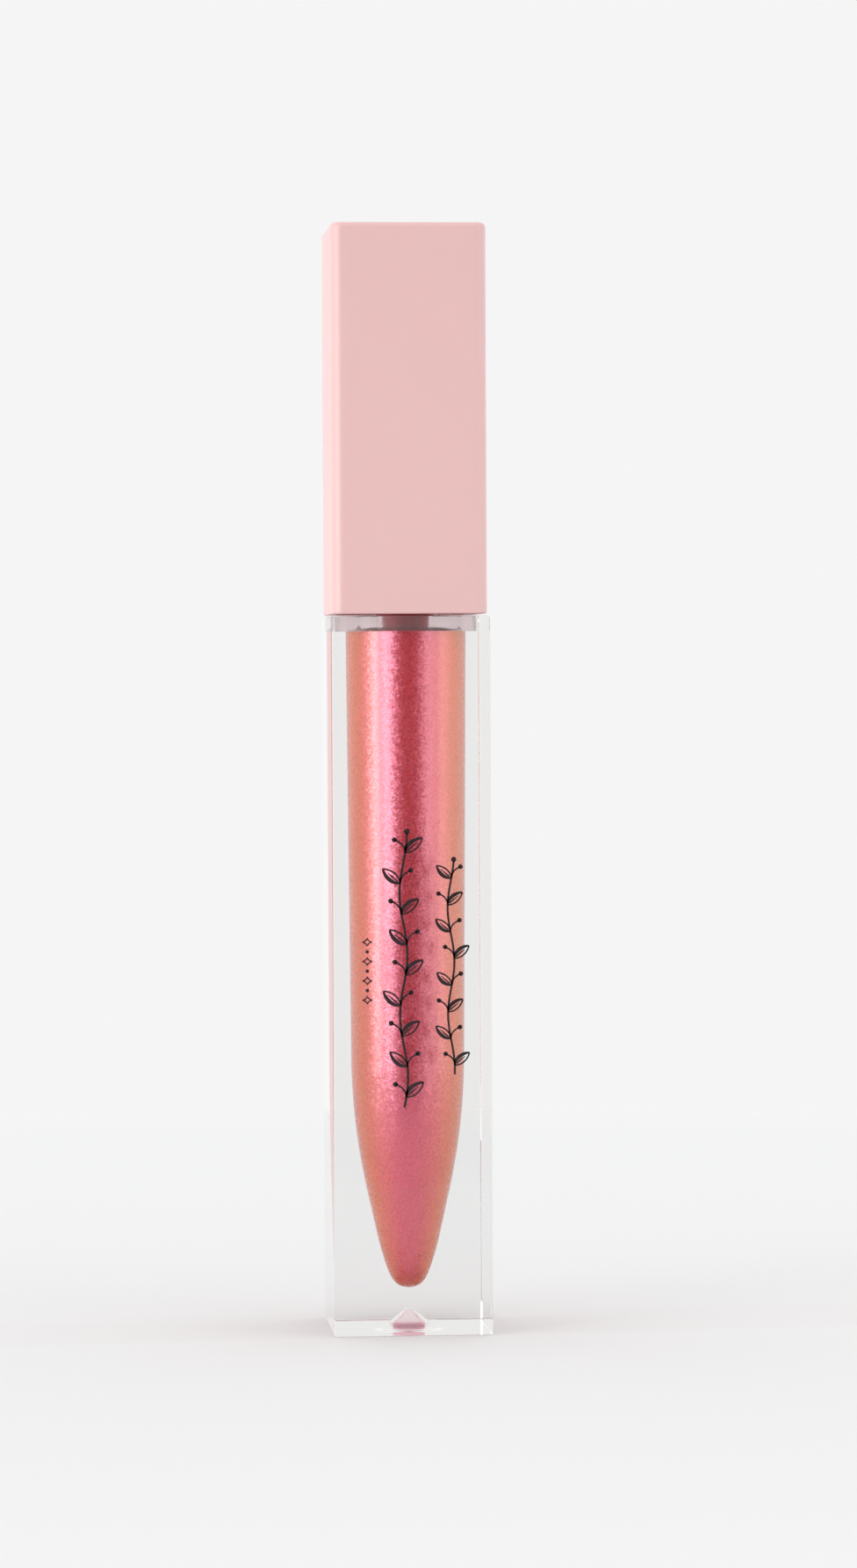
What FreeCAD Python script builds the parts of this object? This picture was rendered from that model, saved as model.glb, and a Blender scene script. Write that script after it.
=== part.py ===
import FreeCAD, Part
import math
import os

from FreeCAD import Vector as V

# Lip gloss tube: a clear square bottle with a bullet-shaped chamber, a threaded
# neck insert, a wiper, and a square cap that carries the wand.
# Millimetres. Origin at the bottom centre of the bottle, +Z up, the printed
# front face towards -Y.

# ---- driving dimensions -------------------------------------------------
# bottle
BOTTLE_W = 17.0          # side of the square section
BOTTLE_H = 76.8          # base to shoulder
BOTTLE_EDGE_R = 0.3      # long edges and base edges
BOTTLE_TOP_R = 0.35      # rim of the shoulder
SEAT_R = 7.70            # counterbore that takes the insert's flange
SEAT_DEPTH = 1.65
# chamber profile (radius, height), tip first; straight draft above the last point
CHAMBER = [
    (0.00, 4.40), (0.85, 4.57), (1.33, 4.85), (1.66, 5.20), (2.00, 5.78),
    (2.30, 6.50), (2.60, 7.40), (3.05, 8.90), (3.90, 12.60), (4.72, 16.35),
    (5.38, 20.10), (5.82, 23.90), (6.07, 28.20),
]
CHAMBER_TOP_R = 6.45
# underside of the base
BASE_RING_R = 3.68       # shallow round recess
BASE_RING_DEPTH = 0.12
GATE_R = 2.10            # moulding-gate recess inside it
GATE_WALL_H = 0.75
GATE_NOSE_R = 0.55
GATE_H = 2.10

# neck insert
FLANGE_R = 7.65
FLANGE_DISH = 0.40       # dished underside
NECK_CORE_R = 5.00
NECK_CREST_R = 5.55
NECK_TOP = 87.30
NECK_BORE_R = 3.93
NECK_THROAT_R = 3.08
NECK_BORE_FLOOR = 79.00  # bore narrows to the throat below this
NECK_THROAT_TOP = 77.90
THREAD_PITCH = 2.50
NECK_THREAD_Z = 79.60
NECK_THREAD_TURNS = 1.60

# wiper
WIPER_FLANGE_R = 4.75
WIPER_FLANGE_T = 0.70
WIPER_SLEEVE_R = 3.90
WIPER_TIP_R = 3.05
WIPER_WALL = 0.55
WIPER_LIP_R = 2.35
WIPER_BOTTOM = 75.62

# contents
GLOSS_GAP = 0.03
WELL_R = 2.50            # way left for the wand
WELL_FLOOR = 12.20

# cap
CAP_W = 16.6
CAP_BOTTOM = 77.00
CAP_TOP = 118.60
CAP_EDGE_R = 1.25
CAP_TOP_R = 0.5
CAP_WALL = 1.25
CAP_ROOF = 1.60
CAP_INNER_R = 0.60
RIB_T = 0.90             # corner ribs that grip the inner cap

# inner cap
INNER_R = 7.00
INNER_BOTTOM = 77.40
INNER_BORE_R = 6.20
INNER_RIDGE_R = 5.65
INNER_CEILING = 89.00
INNER_DECK_TOP = 90.40
SOCKET_R = 3.40
SOCKET_TOP = 100.00
INNER_THREAD_Z = 80.60
INNER_THREAD_TURNS = 1.30

# seal liner
LINER_OUT_R = 5.85
LINER_IN_R = 2.70
LINER_Z = 88.10
LINER_T = 0.80

# wand
ROD_R = 1.90
ROD_TOP = 98.80
ROD_BOTTOM = 26.20
ROD_SOCKET_R = 1.25      # lower end, takes the applicator's spigot
ROD_SOCKET_DEPTH = 6.00
COLLAR_R = 2.15          # bead that seats in the cap's socket
TIP_BOTTOM = 12.60
FLOCK_R = 2.20
FLOCK_TOP = 25.60
FLOCK_T = 0.38
SLANT_TOP = 22.40        # the slanted face runs from here...
SLANT_FOOT_X = -0.90     # ...to this x at the bottom

os.makedirs("parts", exist_ok=True)


# ---- helpers ------------------------------------------------------------
def revolve(points):
    """Solid of revolution about Z from a closed list of (radius, height)."""
    pts = [V(r, 0, z) for r, z in points]
    wire = Part.makePolygon(pts + [pts[0]])
    return Part.Face(wire).revolve(V(0, 0, 0), V(0, 0, 1), 360)


def cyl(r, z0, z1):
    return Part.makeCylinder(r, z1 - z0, V(0, 0, z0))


def block(w, z0, z1):
    return Part.makeBox(w, w, z1 - z0, V(-w / 2, -w / 2, z0))


def edges_where(shape, test):
    return [e for e in shape.Edges if test(e)]


def vertical(e):
    a, b = e.Vertexes[0].Point, e.Vertexes[-1].Point
    return abs(a.x - b.x) < 1e-6 and abs(a.y - b.y) < 1e-6 and abs(a.z - b.z) > 1e-3


def at_height(e, z):
    return all(abs(v.Point.z - z) < 1e-6 for v in e.Vertexes) and e.BoundBox.ZLength < 1e-6


def smooth(points, before, after, per=5):
    """Centripetal Catmull-Rom points through a profile."""
    ext = [before] + list(points) + [after]
    res = []
    for i in range(1, len(ext) - 2):
        p = ext[i - 1:i + 3]
        t = [0.0]
        for j in range(3):
            t.append(t[-1] + math.dist(p[j], p[j + 1]) ** 0.5)
        for k in range(per):
            u = t[1] + (t[2] - t[1]) * k / per
            a = [[(t[j + 1] - u) / (t[j + 1] - t[j]) * p[j][c] + (u - t[j]) / (t[j + 1] - t[j]) * p[j + 1][c]
                  for c in (0, 1)] for j in range(3)]
            m = [[(t[j + 2] - u) / (t[j + 2] - t[j]) * a[j][c] + (u - t[j]) / (t[j + 2] - t[j]) * a[j + 1][c]
                  for c in (0, 1)] for j in range(2)]
            res.append([(t[2] - u) / (t[2] - t[1]) * m[0][c] + (u - t[1]) / (t[2] - t[1]) * m[1][c] for c in (0, 1)])
    res.append(list(points[-1]))
    return res


def chamber_solid(inset, z_top, r_top):
    """Bullet-shaped chamber, pulled in by inset on every side."""
    first, last = CHAMBER[1], CHAMBER[-1]
    k = (last[1] + 4 - last[1]) / (BOTTLE_H - SEAT_DEPTH - last[1])
    after = (last[0] + (r_top - last[0]) * k, last[1] + 4)
    line = smooth(CHAMBER, (-first[0], first[1]), after)
    pts = []
    n = len(line)
    for i, (r, z) in enumerate(line):
        a = line[max(i - 1, 0)]
        b = line[i + 1] if i + 1 < n else after
        dr, dz = b[0] - a[0], b[1] - a[1]
        if i == 0:
            dr, dz = 1.0, 0.0
        length = math.hypot(dr, dz)
        pts.append(V(max(r - inset * dz / length, 0.0), 0, z + inset * dr / length))
    top = V(r_top - inset, 0, z_top)
    curve = Part.BSplineCurve()
    curve.interpolate(Points=pts)
    edges = [
        curve.toShape(),
        Part.LineSegment(pts[-1], top).toShape(),
        Part.LineSegment(top, V(0, 0, z_top)).toShape(),
        Part.LineSegment(V(0, 0, z_top), pts[0]).toShape(),
    ]
    face = Part.Face(Part.Wire(edges))
    return face.revolve(V(0, 0, 0), V(0, 0, 1), 360)


def thread(r_root, r_crest, z0, turns, pitch, w_root, w_crest):
    """Trapezoid ridge along a helix; r_root is inside the part it stands on."""
    height = turns * pitch
    helix = Part.makeHelix(pitch, height, abs(r_root))
    helix.translate(V(0, 0, z0))
    path = Part.Wire(helix.Edges)
    sec = Part.makePolygon([
        V(r_root, 0, z0 - w_root / 2), V(r_crest, 0, z0 - w_crest / 2),
        V(r_crest, 0, z0 + w_crest / 2), V(r_root, 0, z0 + w_root / 2),
        V(r_root, 0, z0 - w_root / 2),
    ])
    ridge = path.makePipeShell([sec], True, True)
    return ridge


def out(name, shape):
    shape = shape.removeSplitter() if name not in ("neck_insert", "inner_cap") else shape
    solids = shape.Solids
    ok = shape.isValid() and len(solids) == 1
    bb = shape.BoundBox
    print("%-16s %s solids=%d vol=%.1f  x %.2f..%.2f y %.2f..%.2f z %.2f..%.2f" % (
        name, "ok" if ok else "CHECK", len(solids), shape.Volume,
        bb.XMin, bb.XMax, bb.YMin, bb.YMax, bb.ZMin, bb.ZMax))
    solid = solids[0] if len(solids) == 1 else shape
    solid.exportStep("parts/%s.step" % name)
    return solid


parts = {}

# ---- bottle body --------------------------------------------------------
seat_z = BOTTLE_H - SEAT_DEPTH
b = block(BOTTLE_W, 0, BOTTLE_H)
b = b.makeFillet(BOTTLE_EDGE_R, edges_where(b, lambda e: vertical(e) or at_height(e, 0)))
b = b.makeFillet(BOTTLE_TOP_R, edges_where(b, lambda e: at_height(e, BOTTLE_H)))
b = b.cut(chamber_solid(0.0, seat_z + 0.01, CHAMBER_TOP_R))
b = b.cut(cyl(SEAT_R, seat_z, BOTTLE_H + 1))
gate = revolve([(0, -1), (GATE_R, -1), (GATE_R, GATE_WALL_H), (GATE_NOSE_R, GATE_H - 0.15),
                (GATE_NOSE_R * 0.55, GATE_H), (0, GATE_H)])
b = b.cut(cyl(BASE_RING_R, -1, BASE_RING_DEPTH)).cut(gate)
parts["bottle_body"] = b

# ---- neck insert --------------------------------------------------------
under = seat_z + 0.02
dish = [(0, under - 0.5), (6.40, under - 0.5), (6.40, under)]
for k in range(1, 9):
    r = 6.40 - (6.40 - NECK_THROAT_R) * k / 8.0
    t = (6.40 - r) / (6.40 - NECK_THROAT_R)
    dish.append((r, under + FLANGE_DISH * math.sin(t * math.pi / 2)))
dish.append((0, under + FLANGE_DISH))
neck = cyl(FLANGE_R, under, BOTTLE_H).fuse(cyl(NECK_CORE_R, BOTTLE_H - 0.5, NECK_TOP))
neck = neck.fuse(thread(NECK_CORE_R - 0.3, NECK_CREST_R, NECK_THREAD_Z, NECK_THREAD_TURNS,
                        THREAD_PITCH, 1.35, 0.50))
neck = neck.cut(revolve(dish))
bore = revolve([(0, 70), (NECK_THROAT_R, 70), (NECK_THROAT_R, NECK_THROAT_TOP),
                (NECK_BORE_R, NECK_BORE_FLOOR), (NECK_BORE_R, NECK_TOP + 1), (0, NECK_TOP + 1)])
neck = neck.cut(bore)
parts["neck_insert"] = neck

# ---- wiper --------------------------------------------------------------
zt = NECK_TOP + 0.02
w_in = WIPER_SLEEVE_R - WIPER_WALL
wiper = revolve([
    (WIPER_LIP_R, WIPER_BOTTOM), (WIPER_TIP_R - 0.15, WIPER_BOTTOM),
    (WIPER_TIP_R, WIPER_BOTTOM + 0.20), (WIPER_TIP_R, NECK_THROAT_TOP + 0.02),
    (WIPER_SLEEVE_R, NECK_BORE_FLOOR + 0.06), (WIPER_SLEEVE_R, zt),
    (WIPER_FLANGE_R, zt), (WIPER_FLANGE_R, zt + WIPER_FLANGE_T - 0.15),
    (WIPER_FLANGE_R - 0.15, zt + WIPER_FLANGE_T), (w_in + 0.25, zt + WIPER_FLANGE_T),
    (w_in, zt + WIPER_FLANGE_T - 0.35), (w_in, NECK_BORE_FLOOR + 0.30),
    (WIPER_LIP_R + 0.15, NECK_THROAT_TOP - 0.60), (WIPER_LIP_R + 0.15, WIPER_BOTTOM + 0.60),
    (WIPER_LIP_R, WIPER_BOTTOM + 0.25),
])
parts["wiper"] = wiper

# ---- contents -----------------------------------------------------------
gloss_top = seat_z - 0.01
g = chamber_solid(GLOSS_GAP, gloss_top, CHAMBER_TOP_R)
cup = [(0, gloss_top - 0.2), (6.34, gloss_top - 0.2), (6.34, gloss_top)]
for k in range(1, 9):
    r = 6.34 - (6.34 - NECK_THROAT_R) * k / 8.0
    t = (6.34 - r) / (6.34 - NECK_THROAT_R)
    cup.append((r, gloss_top + (FLANGE_DISH - 0.02) * math.sin(t * math.pi / 2)))
cup.append((0, gloss_top + FLANGE_DISH - 0.02))
g = g.fuse(revolve(cup))
g = g.cut(cyl(WELL_R, WELL_FLOOR, 90))
parts["gloss"] = g

# ---- cap shell ----------------------------------------------------------
c = block(CAP_W, CAP_BOTTOM, CAP_TOP)
c = c.makeFillet(CAP_EDGE_R, edges_where(c, vertical))
c = c.makeFillet(CAP_TOP_R, edges_where(c, lambda e: at_height(e, CAP_TOP)))
c = c.makeFillet(0.20, edges_where(c, lambda e: at_height(e, CAP_BOTTOM)))
in_w = CAP_W - 2 * CAP_WALL
hollow = block(in_w, CAP_BOTTOM - 1, CAP_TOP - CAP_ROOF)
hollow = hollow.makeFillet(CAP_INNER_R, edges_where(hollow, vertical))
c = c.cut(hollow)
# four diagonal ribs in the corners: they grip the inner cap, and step in above it as its stop
rib_lo = CAP_BOTTOM + 1.6
rib_hi = CAP_TOP - CAP_ROOF + 0.3
ribs = None
for a in (45, 135, 225, 315):
    rib = Part.makeBox(3.4, RIB_T, rib_hi - rib_lo, V(INNER_R - 0.04, -RIB_T / 2, rib_lo))
    stop = Part.makeBox(2.4, RIB_T, rib_hi - INNER_DECK_TOP - 0.02,
                        V(INNER_R - 1.20, -RIB_T / 2, INNER_DECK_TOP + 0.02))
    rib = rib.fuse(stop)
    rib.rotate(V(0, 0, 0), V(0, 0, 1), a)
    ribs = rib if ribs is None else ribs.fuse(rib)
envelope = block(CAP_W - 1.2, CAP_BOTTOM, CAP_TOP)
envelope = envelope.makeFillet(CAP_EDGE_R - 0.5, edges_where(envelope, vertical))
ribs = ribs.common(envelope).cut(cyl(INNER_R - 0.04, CAP_BOTTOM, INNER_DECK_TOP))
c = c.fuse(ribs)
parts["cap_shell"] = c

# ---- inner cap ----------------------------------------------------------
# the spigot of the cap's roof closes the thread chamber; the socket above it holds the rod
ic = revolve([
    (INNER_BORE_R, INNER_BOTTOM), (INNER_R - 0.3, INNER_BOTTOM), (INNER_R, INNER_BOTTOM + 0.3),
    (INNER_R, INNER_DECK_TOP), (SOCKET_R, INNER_DECK_TOP), (SOCKET_R, SOCKET_TOP - 0.3),
    (SOCKET_R - 0.3, SOCKET_TOP), (0, SOCKET_TOP), (0, ROD_TOP + 0.05),
    (ROD_R + 0.005, ROD_TOP + 0.05), (ROD_R + 0.005, INNER_CEILING + 3.0),
    (COLLAR_R + 0.03, INNER_CEILING + 3.0 - 0.25), (COLLAR_R + 0.03, INNER_CEILING),
    (INNER_BORE_R, INNER_CEILING),
])
for a in (0, 90, 180, 270):
    gusset = Part.makePolygon([V(SOCKET_R - 0.2, 0, INNER_DECK_TOP - 0.2),
                               V(INNER_R - 0.6, 0, INNER_DECK_TOP - 0.2),
                               V(SOCKET_R - 0.2, 0, SOCKET_TOP - 1.5),
                               V(SOCKET_R - 0.2, 0, INNER_DECK_TOP - 0.2)])
    gs = Part.Face(gusset).extrude(V(0, 0.8, 0))
    gs.translate(V(0, -0.4, 0))
    gs.rotate(V(0, 0, 0), V(0, 0, 1), a)
    ic = ic.fuse(gs)
ic = ic.fuse(thread(INNER_BORE_R + 0.25, INNER_RIDGE_R, INNER_THREAD_Z, INNER_THREAD_TURNS,
                    THREAD_PITCH, 1.35, 0.50))
parts["inner_cap"] = ic

# ---- seal liner ---------------------------------------------------------
parts["seal_liner"] = cyl(LINER_OUT_R, LINER_Z, LINER_Z + LINER_T).cut(
    cyl(LINER_IN_R, LINER_Z - 1, LINER_Z + LINER_T + 1))

# ---- wand rod -----------------------------------------------------------
rod = revolve([
    (0, ROD_BOTTOM + ROD_SOCKET_DEPTH), (ROD_SOCKET_R, ROD_BOTTOM + ROD_SOCKET_DEPTH),
    (ROD_SOCKET_R, ROD_BOTTOM), (ROD_R - 0.2, ROD_BOTTOM), (ROD_R, ROD_BOTTOM + 0.2),
    (ROD_R, INNER_CEILING + 0.1), (COLLAR_R, INNER_CEILING + 0.35),
    (COLLAR_R, INNER_CEILING + 2.60), (ROD_R, INNER_CEILING + 2.85),
    (ROD_R, ROD_TOP - 0.3), (ROD_R - 0.3, ROD_TOP), (0, ROD_TOP),
])
parts["wand_rod"] = rod


# ---- applicator ---------------------------------------------------------
def doe_foot(r, z0, z1, inset):
    """Round paddle with a domed end and one slanted face."""
    body = cyl(r, z0, z1)
    body = body.makeFillet(r * 0.82, edges_where(body, lambda e: at_height(e, z0)))
    top = V(r + 0.05, 0, SLANT_TOP)
    foot = V(SLANT_FOOT_X, 0, TIP_BOTTOM)
    along = (top - foot).normalize()
    normal = V(along.z, 0, -along.x)
    p0 = foot - normal * inset
    big = Part.makePolygon([p0 - along * 20, p0 + along * 40, p0 + along * 40 + normal * 20,
                            p0 - along * 20 + normal * 20, p0 - along * 20])
    tool = Part.Face(big).extrude(V(0, 20, 0))
    tool.translate(V(0, -10, 0))
    body = body.cut(tool)
    return body


flock_out = doe_foot(FLOCK_R, TIP_BOTTOM, FLOCK_TOP, 0.0)
core_in = doe_foot(FLOCK_R - FLOCK_T, TIP_BOTTOM + FLOCK_T, FLOCK_TOP + 0.55, FLOCK_T)
spigot = cyl(ROD_SOCKET_R - 0.01, FLOCK_TOP - 1.0, ROD_BOTTOM + ROD_SOCKET_DEPTH - 0.1)
core = core_in.fuse(spigot)
parts["applicator_core"] = core
flock = flock_out.cut(doe_foot(FLOCK_R - FLOCK_T + 0.004, TIP_BOTTOM + FLOCK_T - 0.004,
                               FLOCK_TOP + 0.6, FLOCK_T - 0.004))
parts["applicator_flock"] = flock

for name in sorted(parts):
    parts[name] = out(name, parts[name])

# ---- pair check ---------------------------------------------------------
names = sorted(parts)
for i, a in enumerate(names):
    for k in names[i + 1:]:
        if parts[a].BoundBox.intersect(parts[k].BoundBox):
            v = parts[a].common(parts[k]).Volume
            if v > 1e-4:
                print("overlap %s %s %.4f mm3" % (a, k, v))
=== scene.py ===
import math
import random

import bmesh
import bpy
from mathutils import Matrix, Vector


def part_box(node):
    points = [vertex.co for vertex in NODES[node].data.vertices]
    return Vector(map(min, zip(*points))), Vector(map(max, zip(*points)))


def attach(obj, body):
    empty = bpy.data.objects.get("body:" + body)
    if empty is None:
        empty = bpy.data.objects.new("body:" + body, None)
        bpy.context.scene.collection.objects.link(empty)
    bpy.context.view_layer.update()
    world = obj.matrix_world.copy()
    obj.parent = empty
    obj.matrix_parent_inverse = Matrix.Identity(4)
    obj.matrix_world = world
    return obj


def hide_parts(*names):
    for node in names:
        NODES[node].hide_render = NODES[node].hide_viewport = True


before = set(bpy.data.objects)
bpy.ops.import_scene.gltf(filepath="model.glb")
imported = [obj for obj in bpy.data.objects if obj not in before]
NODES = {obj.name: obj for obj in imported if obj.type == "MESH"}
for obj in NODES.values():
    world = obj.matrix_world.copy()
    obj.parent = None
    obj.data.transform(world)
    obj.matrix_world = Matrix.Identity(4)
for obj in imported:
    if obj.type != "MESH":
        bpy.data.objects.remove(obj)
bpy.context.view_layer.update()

MM = 0.001


def hi(n):
    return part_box(n)[1]


def lo(n):
    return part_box(n)[0]


# ------------------------------------------------------------------ mesh kit
def new_object(name, verts, faces, smooth=True, sharp=35.0, weighted=True):
    me = bpy.data.meshes.new(name)
    me.from_pydata([tuple(v) for v in verts], [], faces)
    me.validate()
    bm = bmesh.new()
    bm.from_mesh(me)
    bmesh.ops.remove_doubles(bm, verts=bm.verts, dist=1e-8)
    bmesh.ops.dissolve_degenerate(bm, dist=1e-9, edges=bm.edges)
    bmesh.ops.recalc_face_normals(bm, faces=bm.faces)
    lim = math.radians(sharp)
    for f in bm.faces:
        f.smooth = smooth
    for e in bm.edges:
        e.smooth = not (len(e.link_faces) == 2 and e.calc_face_angle(0) > lim)
    bm.to_mesh(me)
    bm.free()
    ob = bpy.data.objects.new(name, me)
    bpy.context.scene.collection.objects.link(ob)
    if weighted:
        m = ob.modifiers.new("normals", "WEIGHTED_NORMAL")
        m.mode = "FACE_AREA"
        m.weight = 100
        m.keep_sharp = True
    return ob


def loft(rings, first=None, last=None, close=False):
    """Vertices and quads through equal-length closed rings; first and last are pole points."""
    verts, faces = [], []
    n = len(rings[0])
    for r in rings:
        verts.extend(r)
    for i in range(len(rings) - 1 + (1 if close else 0)):
        a, b = i * n, ((i + 1) % len(rings)) * n
        for k in range(n):
            k2 = (k + 1) % n
            faces.append((a + k, a + k2, b + k2, b + k))
    if first is not None:
        verts.append(first)
        p = len(verts) - 1
        faces.extend((p, (k + 1) % n, k) for k in range(n))
    if last is not None:
        verts.append(last)
        p = len(verts) - 1
        o = (len(rings) - 1) * n
        faces.extend((p, o + k, o + (k + 1) % n) for k in range(n))
    return verts, faces


SIDE, CORNER = 36, 10


def square_ring(half, r, z):
    """A rounded square, sampled so that rings of any size match each other."""
    r = max(r, 1e-7)
    pts = []
    for q in range(4):
        a0 = math.pi / 2 * q
        c, s = math.cos(a0), math.sin(a0)
        flat = half - r
        local = []
        t0 = math.atan2(flat, half) / (math.pi / 4)
        for k in range(SIDE):
            ang = math.pi / 4 * t0 * (2 * k / SIDE - 1)
            local.append((half, half * math.tan(ang)))
        for k in range(CORNER):
            w = math.pi / 2 * k / CORNER
            local.append((flat + r * math.cos(w), flat + r * math.sin(w)))
        pts.extend(Vector((x * c - y * s, x * s + y * c, z)) for x, y in local)
    return pts


def circle_like(reference, radius, z):
    """A circle whose points stand at the same angles as those of a reference ring."""
    out = []
    for p in reference:
        d = math.hypot(p.x, p.y)
        out.append(Vector((p.x / d * radius, p.y / d * radius, z)))
    return out


def circle(n, radius, z):
    return [Vector((radius * math.cos(2 * math.pi * k / n), radius * math.sin(2 * math.pi * k / n), z)) for k in range(n)]


def arc(cx, cz, r, a0, a1, n):
    """Points (radius, height) of an arc, angles in degrees."""
    return [(cx + r * math.cos(math.radians(a0 + (a1 - a0) * k / n)),
             cz + r * math.sin(math.radians(a0 + (a1 - a0) * k / n))) for k in range(n + 1)]


def spline(points, before, after, per=6):
    """Centripetal Catmull-Rom through (radius, height) points."""
    ext = [before] + list(points) + [after]
    res = []
    for i in range(1, len(ext) - 2):
        p = ext[i - 1:i + 3]
        t = [0.0]
        for j in range(3):
            t.append(t[-1] + math.dist(p[j], p[j + 1]) ** 0.5)
        for k in range(per):
            u = t[1] + (t[2] - t[1]) * k / per
            a = [[(t[j + 1] - u) / (t[j + 1] - t[j]) * p[j][c] + (u - t[j]) / (t[j + 1] - t[j]) * p[j + 1][c]
                  for c in (0, 1)] for j in range(3)]
            m = [[(t[j + 2] - u) / (t[j + 2] - t[j]) * a[j][c] + (u - t[j]) / (t[j + 2] - t[j]) * a[j + 1][c]
                  for c in (0, 1)] for j in range(2)]
            res.append(tuple((t[2] - u) / (t[2] - t[1]) * m[0][c] + (u - t[1]) / (t[2] - t[1]) * m[1][c]
                             for c in (0, 1)))
    res.append(tuple(points[-1]))
    return res


def revolve(name, profile, n=128, sharp=35.0):
    """A solid of revolution; a profile point on the axis becomes a pole."""
    prof = [(r * MM, z * MM) for r, z in profile]
    first = last = None
    if prof[0][0] < 1e-9:
        first = Vector((0, 0, prof[0][1]))
        prof = prof[1:]
    if prof[-1][0] < 1e-9:
        last = Vector((0, 0, prof[-1][1]))
        prof = prof[:-1]
    rings = [circle(n, r, z) for r, z in prof]
    v, f = loft(rings, first, last, close=(first is None and last is None))
    return new_object(name, v, f, sharp=sharp)


# ------------------------------------------------------------------ node kit
def material(name):
    m = bpy.data.materials.new(name)
    m.use_nodes = True
    nt = m.node_tree
    return m, nt, nt.nodes["Principled BSDF"]


class Kit:
    def __init__(self, nt):
        self.nt = nt

    def node(self, kind, **kw):
        n = self.nt.nodes.new(kind)
        for k, v in kw.items():
            setattr(n, k, v)
        return n

    def link(self, a, b):
        self.nt.links.new(a, b)

    def math(self, op, a, b=None, c=None, clamp=False):
        n = self.node("ShaderNodeMath", operation=op, use_clamp=clamp)
        for i, x in enumerate((a, b, c)):
            if x is None:
                continue
            if hasattr(x, "is_linked"):
                self.link(x, n.inputs[i])
            else:
                n.inputs[i].default_value = x
        return n.outputs[0]

    def ramp(self, fac, stops, interp="LINEAR"):
        n = self.node("ShaderNodeValToRGB")
        n.color_ramp.interpolation = interp
        el = n.color_ramp.elements
        while len(el) < len(stops):
            el.new(0.5)
        for e, (p, c) in zip(el, stops):
            e.position = p
            e.color = tuple(c) + (1.0,) if len(c) == 3 else c
        self.link(fac, n.inputs[0])
        return n.outputs[0]

    def noise(self, scale, detail=2.0, rough=0.5, vector=None, distortion=0.0, dims="3D"):
        n = self.node("ShaderNodeTexNoise", noise_dimensions=dims)
        n.inputs["Scale"].default_value = scale
        n.inputs["Detail"].default_value = detail
        n.inputs["Roughness"].default_value = rough
        n.inputs["Distortion"].default_value = distortion
        if vector is not None:
            self.link(vector, n.inputs["Vector"])
        return n.outputs["Fac"]

    def voronoi(self, scale, vector=None, out="Color", feature="F1"):
        n = self.node("ShaderNodeTexVoronoi", feature=feature)
        n.inputs["Scale"].default_value = scale
        if vector is not None:
            self.link(vector, n.inputs["Vector"])
        return n.outputs[out]

    def coords(self, scale=(1, 1, 1)):
        t = self.node("ShaderNodeTexCoord")
        if scale == (1, 1, 1):
            return t.outputs["Object"]
        m = self.node("ShaderNodeMapping")
        m.inputs["Scale"].default_value = scale
        self.link(t.outputs["Object"], m.inputs["Vector"])
        return m.outputs["Vector"]

    def bump(self, height, strength, distance, normal=None):
        n = self.node("ShaderNodeBump")
        n.inputs["Strength"].default_value = strength
        n.inputs["Distance"].default_value = distance
        self.link(height, n.inputs["Height"])
        if normal is not None:
            self.link(normal, n.inputs["Normal"])
        return n.outputs["Normal"]

    def maprange(self, v, a, b, c, d, kind="LINEAR"):
        n = self.node("ShaderNodeMapRange", interpolation_type=kind)
        for i, x in enumerate((a, b, c, d)):
            n.inputs[i + 1].default_value = x
        self.link(v, n.inputs[0])
        return n.outputs[0]

    def mix(self, fac, a, b):
        n = self.node("ShaderNodeMix", data_type="RGBA")
        for sock, x in ((n.inputs[0], fac), (n.inputs[6], a), (n.inputs[7], b)):
            if hasattr(x, "is_linked"):
                self.link(x, sock)
            else:
                sock.default_value = x if not isinstance(x, tuple) else (tuple(x) + (1.0,))[:4]
        return n.outputs[2]


def srgb(r, g, b):
    def f(c):
        c /= 255.0
        return c / 12.92 if c <= 0.04045 else ((c + 0.055) / 1.055) ** 2.4
    return (f(r), f(g), f(b))


def setp(bsdf, **kw):
    names = {"color": "Base Color", "rough": "Roughness", "metal": "Metallic", "ior": "IOR",
             "trans": "Transmission Weight", "spec": "Specular IOR Level", "tint": "Specular Tint",
             "sss": "Subsurface Weight", "sssr": "Subsurface Radius", "ssss": "Subsurface Scale",
             "coat": "Coat Weight", "coatr": "Coat Roughness", "sheen": "Sheen Weight",
             "sheenr": "Sheen Roughness", "sheent": "Sheen Tint", "film": "Thin Film Thickness",
             "filmi": "Thin Film IOR", "aniso": "Anisotropic"}
    for k, v in kw.items():
        s = bsdf.inputs[names[k]]
        s.default_value = tuple(v) + (1.0,) if isinstance(v, tuple) and len(v) == 3 and len(s.default_value) == 4 else v


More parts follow.
